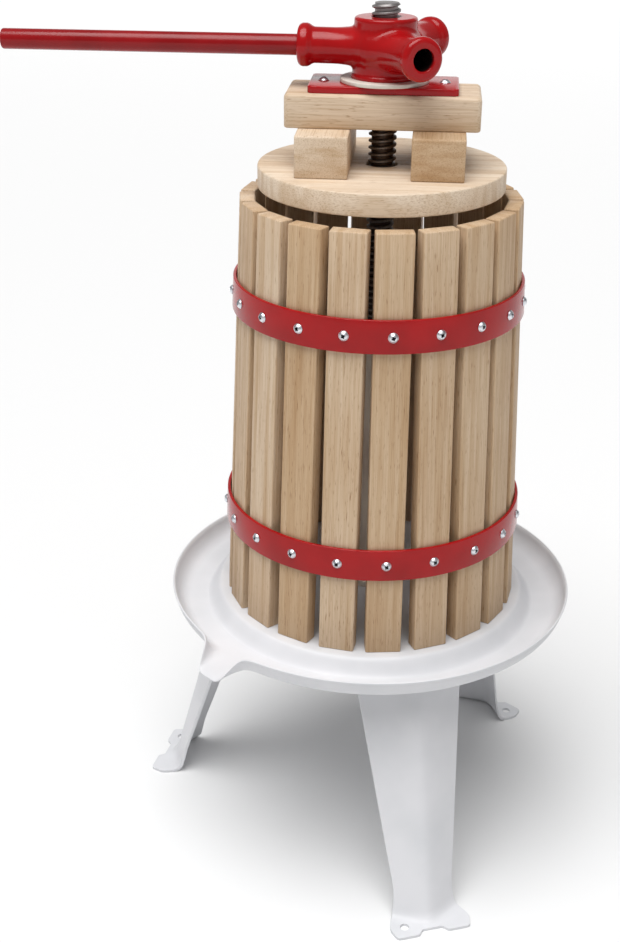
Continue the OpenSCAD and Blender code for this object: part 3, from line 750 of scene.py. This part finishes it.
def domedBolt():
    r, high, shank, long = legBolt["headD"] / 2, legBolt["headHigh"], legBolt["d"] / 2, legBolt["long"]
    ball = (r * r + high * high) / (2 * high)
    dome = [(r * k / 10, high - ball + math.sqrt(ball ** 2 - (r * k / 10) ** 2)) for k in range(10)]
    stem = [(r, 0.3), (r - 0.2, 0), (shank, 0), (shank, 0.8 - long), (shank - 0.8, -long), (0, -long)]
    return lathe(dome + stem, 40)


bolts = addCopies(domedBolt(), [m @ Matrix.Translation((0, 0, levels["platform"])) for m in boltPlaces])
finishPiece("legBolts", bolts, zinc, "base", ["leg_bolts"])
print("screw, its washer and nut, leg bolts and nuts")

# press head: plate halves, blocks, beam, bearing plate and washer, turned a little on the screw
head = {
    "turn": 3.0, "way": 28.0, "plateR": 111.5, "plateThick": 20.0, "split": 0.2, "plateEase": 1.6,
    "blockWide": 46.0, "blockLong": 131.0, "blockHigh": 36.5, "blockX": 50.0, "blockRound": 2.5,
    "beamLong": 170.0, "beamWide": 72.0, "beamHigh": 29.5, "beamRound": 4.0, "beamCorner": 5.0,
    "ease": 1.5, "bearingLong": 130.0, "bearingWide": 65.0, "bearingThick": 6.0, "bearingCorner": 4.0,
    "bearingEase": 0.8, "screwX": 53.0, "screwHead": 10.0, "screwHigh": 3.0, "screwD": 5.0,
    "screwLong": 20.0, "washerD": 78.0,
    "tones": {"plate": 0.0, "left": 0.2, "right": 0.55, "beam": 0.2},
}


def seat(bm, level):  # turned with the head and lifted to its level
    place = Matrix.Translation((0, 0, levels[level])) @ Matrix.Rotation(math.radians(head["turn"]), 4, "Z")
    bmesh.ops.transform(bm, matrix=place, verts=bm.verts[:])


def wayCutter():
    r = head["way"] / 2
    return lathe([(0, -5), (r, -5), (r, 40), (0, 40)], 64)


def makePlateHalf(name, side):
    outer, inner, gap = head["plateR"], head["way"] / 2, head["split"] / 2
    start, stop = math.asin(gap / outer), math.asin(gap / inner)
    arc = [start + (math.pi - 2 * start) * k / 72 for k in range(73)]
    hole = [math.pi - stop - (math.pi - 2 * stop) * k / 24 for k in range(25)]
    outline = [(outer * math.cos(a), outer * math.sin(a)) for a in arc]
    outline += [(inner * math.cos(a), inner * math.sin(a)) for a in hole]
    ease = head["plateEase"]
    bm = stack(outline, edgeLevels(0, head["plateThick"], ease, ease))
    setGrain(bm, "x", head["tones"]["plate"])
    if side < 0:
        bmesh.ops.rotate(bm, matrix=Matrix.Rotation(math.pi, 3, "Z"), verts=bm.verts[:])
    seat(bm, "plate")
    finishPiece(f"pressPlate{name.title()}", bm, beech, "press_head", [f"plate_{name}"])


def makeBlock(name, side):
    half, high, ease = head["blockLong"] / 2, head["blockHigh"], head["ease"]
    outline = easedOutline(
        [(-half, 0), (half, 0), (half, high), (-half, high)], [ease, ease] + [head["blockRound"]] * 2, 6)
    bm = stack(outline, edgeLevels(0, head["blockWide"], ease, ease))
    for v in bm.verts:  # the profile runs along Y and is drawn out along X
        y, z, x = v.co
        v.co = (side * head["blockX"] - head["blockWide"] / 2 + x, y, z)
    setGrain(bm, "y", head["tones"][name])
    seat(bm, "block")
    finishPiece(f"pressBlock{name.title()}", bm, beech, "press_head", [f"block_{name}"])


def makeBeam():
    x, y = head["beamLong"] / 2, head["beamWide"] / 2
    outline = easedOutline([(-x, -y), (x, -y), (x, y), (-x, y)], head["beamCorner"], 8)
    levelsOf = edgeLevels(0, head["beamHigh"], head["ease"], head["beamRound"], 6)
    bm = cutAway(stack(outline, levelsOf), wayCutter())
    setGrain(bm, "x", head["tones"]["beam"])
    seat(bm, "beam")
    finishPiece("pressBeam", bm, beech, "press_head", ["beam"])


def makeBearingPlate():
    x, y, thick = head["bearingLong"] / 2, head["bearingWide"] / 2, head["bearingThick"]
    outline = easedOutline([(-x, -y), (x, -y), (x, y), (-x, y)], head["bearingCorner"], 6)
    bm = stack(outline, edgeLevels(0, thick, head["bearingEase"], head["bearingEase"], 3))
    bm = cutAway(bm, wayCutter())
    seat(bm, "bearing")
    finishPiece("bearingPlate", bm, red, "press_head", ["bearing_plate"])


for name, side in (("front", -1), ("back", 1)):
    makePlateHalf(name, side)
for name, side in (("left", -1), ("right", 1)):
    makeBlock(name, side)
makeBeam()
makeBearingPlate()
bearingSizes = (head[key] for key in ("screwHead", "screwHigh", "screwD", "screwLong"))
bearingScrews = addCopies(crossHead(*bearingSizes), [
    Matrix.Translation((side * head["screwX"], 0, 0)) @ Matrix.Rotation(side, 4, "Z") for side in (-1, 1)])
seat(bearingScrews, "washer")
finishPiece("bearingScrews", bearingScrews, zinc, "press_head", ["bearing_screws"], 28)
thrust = lathe(easedOutline([
    (head["way"] / 2, levels["washer"]), (head["washerD"] / 2, levels["washer"]),
    (head["washerD"] / 2, levels["hub"]), (head["way"] / 2, levels["hub"])], 0.7, 4), 128)
finishPiece("thrustWasher", thrust, nylon, "press_head", ["thrust_washer"])
print("press head")

# hub: a casting whose barrel and sockets run into each other with soft fillets and a round web
hub = {
    "lowR": 28.5, "topR": 27.3, "high": 51.0, "lip": 1.0, "lipHigh": 3.0, "edge": 3.0, "bore": 12.55,
    "axis": 25.5, "reach": 76.0, "rootR": 20.375, "rootWide": 29.0, "rootAt": 14.0, "neckR": 15.25,
    "neckAt": 45.0, "wideAt": 60.0, "web": 3.5, "webR": 10.5,
    "beadR": 18.3, "beadWide": 11.5, "beadRound": 4.5,
    "neckFillet": 4.0, "fillet": 3.5, "lipFillet": 2.0, "mouth": 1.0,
    # the sockets' painted shade fades in over the mm given after socketFloor
    "socketR": 9.3, "socketFloor": 22.0, "shadeRamp": 4.0, "turns": (180.0, 300.0, 60.0), "step": 1.1,
}


def softMin(a, b, k):
    h = np.clip(0.5 + 0.5 * (b - a) / k, 0, 1)
    return b + (a - b) * h - k * h * (1 - h)


def softMax(a, b, k):
    return -softMin(-a, -b, k)


def flared(a, wide, start, end):  # an arm's half size at a: a hollow curve from its neck to its root
    grow, run = wide - hub["neckR"], end - start
    hollow = (grow * grow + run * run) / (2 * grow)
    back = np.clip(end - a, 0, run)
    return hub["neckR"] + hollow - np.sqrt(hollow * hollow - back * back)


def armPlace(p, turn):  # how far along an arm, to its side and from its axis
    c, s = math.cos(math.radians(turn)), math.sin(math.radians(turn))
    x, y = p[..., 0], p[..., 1]
    side = y * c - x * s
    return x * c + y * s, side, np.hypot(side, p[..., 2] - hub["axis"])


def hubField(p):  # distance to the casting's skin, below zero inside
    around, z = np.hypot(p[..., 0], p[..., 1]), p[..., 2]
    wall = around - (hub["lowR"] + (hub["topR"] - hub["lowR"]) * z / hub["high"])
    body = softMax(wall, np.maximum(-z, z - hub["high"]), hub["edge"])
    lip = np.maximum(around - hub["lowR"] - hub["lip"], np.maximum(-z, z - hub["lipHigh"]))
    body = softMin(body, lip, hub["lipFillet"])
    web = np.hypot(around - hub["lowR"] - hub["web"] + hub["webR"], z - hub["axis"]) - hub["webR"]
    body = softMin(body, web, hub["fillet"])
    holes = around - hub["bore"]
    for turn in hub["turns"]:
        a, side, q = armPlace(p, turn)
        neck = hub["reach"] - hub["beadWide"]
        tall = flared(a, hub["rootR"], hub["rootAt"], hub["neckAt"])
        wide = flared(a, hub["rootWide"], hub["rootAt"], hub["wideAt"])
        oval = np.hypot(side / wide, (z - hub["axis"]) / tall)
        arm = np.maximum((oval - 1) * tall, np.maximum(-a, a - neck - 4))
        r, half = hub["beadRound"], hub["beadWide"] / 2
        dx = np.abs(a - hub["reach"] + half) - (half - r)
        dq = q - (hub["beadR"] - r)
        bead = np.hypot(np.maximum(dx, 0), np.maximum(dq, 0)) + np.minimum(np.maximum(dx, dq), 0) - r
        body = softMin(body, softMin(arm, bead, hub["neckFillet"]), hub["fillet"])
        holes = np.minimum(holes, np.maximum(q - hub["socketR"], hub["socketFloor"] - a))
    return softMax(body, -holes, hub["mouth"])


def surfaceNet(field, low, high, step):  # a quad mesh of the field's zero level
    axes = [np.arange(l, h + step, step) for l, h in zip(low, high)]
    grid = np.stack(np.meshgrid(*axes, indexing="ij"), -1)
    value = field(grid)
    inside = value < 0
    total = np.zeros(tuple(n - 1 for n in value.shape) + (3,))
    hits = np.zeros(total.shape[:3])
    corners = [(i, j, k) for i in (0, 1) for j in (0, 1) for k in (0, 1)]
    size = total.shape[:3]
    for a in corners:
        for axis in range(3):
            if a[axis]:
                continue
            b = tuple(1 if n == axis else a[n] for n in range(3))
            va, vb = (value[i:i + size[0], j:j + size[1], k:k + size[2]] for i, j, k in (a, b))
            pa, pb = (grid[i:i + size[0], j:j + size[1], k:k + size[2]] for i, j, k in (a, b))
            cross = (va < 0) != (vb < 0)
            t = np.where(cross, va / np.where(cross, va - vb, 1), 0)[..., None]
            total += np.where(cross[..., None], pa + (pb - pa) * t, 0)
            hits += cross
    index = np.full(size, -1)
    used = hits > 0
    index[used] = np.arange(used.sum())
    points = total[used] / hits[used][:, None]
    for _ in range(4):  # pull each point onto the skin
        f = field(points)
        slope = np.stack([
            (field(points + d) - field(points - d)) / 0.02 for d in np.eye(3) * 0.01], -1)
        points -= slope * (f / np.maximum((slope ** 2).sum(-1), 0.05))[:, None]
    faces = []
    for axis in range(3):
        first = tuple(slice(None, -1) if n == axis else slice(1, -1) for n in range(3))
        second = tuple(slice(1, None) if n == axis else slice(1, -1) for n in range(3))
        flips = inside[first] != inside[second]
        u, v = (axis + 1) % 3, (axis + 2) % 3
        for cell in np.argwhere(flips):
            cell = cell + np.array([0 if n == axis else 1 for n in range(3)])
            quad = []
            for du, dv in ((0, 0), (-1, 0), (-1, -1), (0, -1)):
                c = cell.copy()
                c[u] += du
                c[v] += dv
                quad.append(index[tuple(c)])
            if inside[tuple(cell)]:
                quad.reverse()
            faces.append(quad)
    return points, faces


def makeHub():
    reach = hub["reach"] + 4
    low, high = (-reach, -reach, -3), (reach * 0.7, reach, hub["high"] + 4)
    points, faces = surfaceNet(hubField, low, high, hub["step"])
    bare = np.zeros(len(points))  # 1 down in the sockets, fading out towards their mouths: painted shade, over bare iron there
    for turn in hub["turns"]:
        a, side, q = armPlace(points, turn)
        within = (a > 0) & (q < hub["socketR"] + 0.2)
        bare = np.where(within, np.clip((hub["reach"] - a - 0.5) / hub["shadeRamp"], 0, 1), bare)
    bm = bmesh.new()
    recessShade = bm.verts.layers.float.new("paintedRecessShade")
    verts = []
    for point, share in zip(points, bare):
        verts.append(bm.verts.new(point))
        verts[-1][recessShade] = share
    for quad in faces:
        bm.faces.new([verts[i] for i in quad])
    bmesh.ops.translate(bm, vec=(0, 0, levels["hub"]), verts=bm.verts[:])
    finishPiece("hubCasting", bm, red, "hub", ["hub"], 60)


makeHub()
lever = {
    "d": 18.0, "wall": 2.5, "reach": 344.0, "inner": 24.0, "ease": 1.6,
    "sag": 0.5, "sagAt": 50.0,  # degrees that it hangs in its loose socket, about a point within it
}


def makeLever():
    r, bore, long = lever["d"] / 2, lever["d"] / 2 - lever["wall"], lever["reach"] - lever["inner"]
    ends = [0.6, lever["ease"], 0.6, 0.4]
    bm = lathe(easedOutline([(bore, 0), (r, 0), (r, long), (bore, long)], ends, 4), 64)
    drop = math.tan(math.radians(lever["sag"]))
    for v in bm.verts:
        x = v.co.z - lever["reach"]
        v.co = (x, v.co.y, levels["hub"] + hub["axis"] - v.co.x + (x + lever["sagAt"]) * drop)
    finishPiece("leverTube", bm, shadedTubeRed, "lever", ["lever"])


makeLever()
print("hub and lever")

# floor, light and camera
studio = {
    "floor": "e9e9e9", "floorHalf": 30, "floorRough": 0.9, "floorGloss": 0.1,  # half its width in metres
    "sky": "ffffff", "skyPower": 0.22,
}
floorMesh = bpy.data.meshes.new("studioFloor")
far = studio["floorHalf"]
floorMesh.from_pydata([(-far, -far, 0), (far, -far, 0), (far, far, 0), (-far, far, 0)], [], [(0, 1, 2, 3)])
floor = bpy.data.objects.new("studioFloor", floorMesh)
scene.collection.objects.link(floor)
# backdrop paper: plain, pale and matt
paper, _, paperShader = startMaterial("paperBackdrop")
paperShader.inputs["Base Color"].default_value = linear(studio["floor"])
paperShader.inputs["Roughness"].default_value = studio["floorRough"]
paperShader.inputs["Specular IOR Level"].default_value = studio["floorGloss"]
floorMesh.materials.append(paper)

world = bpy.data.worlds.new("softStudio")
scene.world = world
world.use_nodes = True
sky = world.node_tree.nodes["Background"]
sky.inputs["Color"].default_value = linear(studio["sky"])
sky.inputs["Strength"].default_value = studio["skyPower"]

# a wide soft sun lights the whole floor alike, and three boxes give the gloss its streaks
lamps = {  # kind, where it hangs and points in metres, width and height or angle, and power
    "skySun": ("SUN", (-0.2, -0.5, 2.0), (0, 0, 0.3), (math.radians(52), 0), 3.06),
    "softboxTop": ("AREA", (-0.3, -0.5, 2.2), (-0.1, 0, 0.75), (1.8, 0.5), 4),
    "softboxFill": ("AREA", (1.6, -1.6, 1.2), (0, 0, 0.5), (1.0, 1.4), 1.5),
    "softboxBack": ("AREA", (0.2, 9.5, 2.5), (0, 0, 0.75), (11, 4), 95),
}
for name, (kind, place, aim, (wide, high), power) in lamps.items():
    lamp = bpy.data.lights.new(name, kind)
    lamp.energy = power
    if kind == "SUN":
        lamp.angle = wide
    else:
        lamp.shape, lamp.size, lamp.size_y = "RECTANGLE", wide, high
    holder = bpy.data.objects.new(name, lamp)
    holder.visible_camera = False
    holder.location = place
    holder.rotation_euler = (Vector(aim) - Vector(place)).to_track_quat("-Z", "Y").to_euler()
    scene.collection.objects.link(holder)

view = {  # place in mm, turns in radians
    "place": (109.14, -1247.5, 978.88), "yaw": -0.13677, "pitch": 0.4441, "roll": 0.0088, "lens": 53.49,
}
yaw, pitch, roll = view["yaw"], view["pitch"], view["roll"]
ahead = Vector((math.sin(yaw) * math.cos(pitch), math.cos(yaw) * math.cos(pitch), -math.sin(pitch)))
level = Vector((math.cos(yaw), -math.sin(yaw), 0))
upright = level.cross(ahead)
right = level * math.cos(roll) + upright * math.sin(roll)
above = upright * math.cos(roll) - level * math.sin(roll)
camera = bpy.data.objects.new("camera", bpy.data.cameras.new("camera"))
camera.data.lens = view["lens"]
camera.data.sensor_width = 36.0
camera.data.clip_end = 100.0
turn = Matrix((right, above, -ahead)).transposed().to_4x4()
camera.matrix_world = Matrix.Translation(Vector(view["place"]) * mm) @ turn
scene.collection.objects.link(camera)
scene.camera = camera
scene.view_settings.view_transform = "Standard"
print("floor, lights and camera")
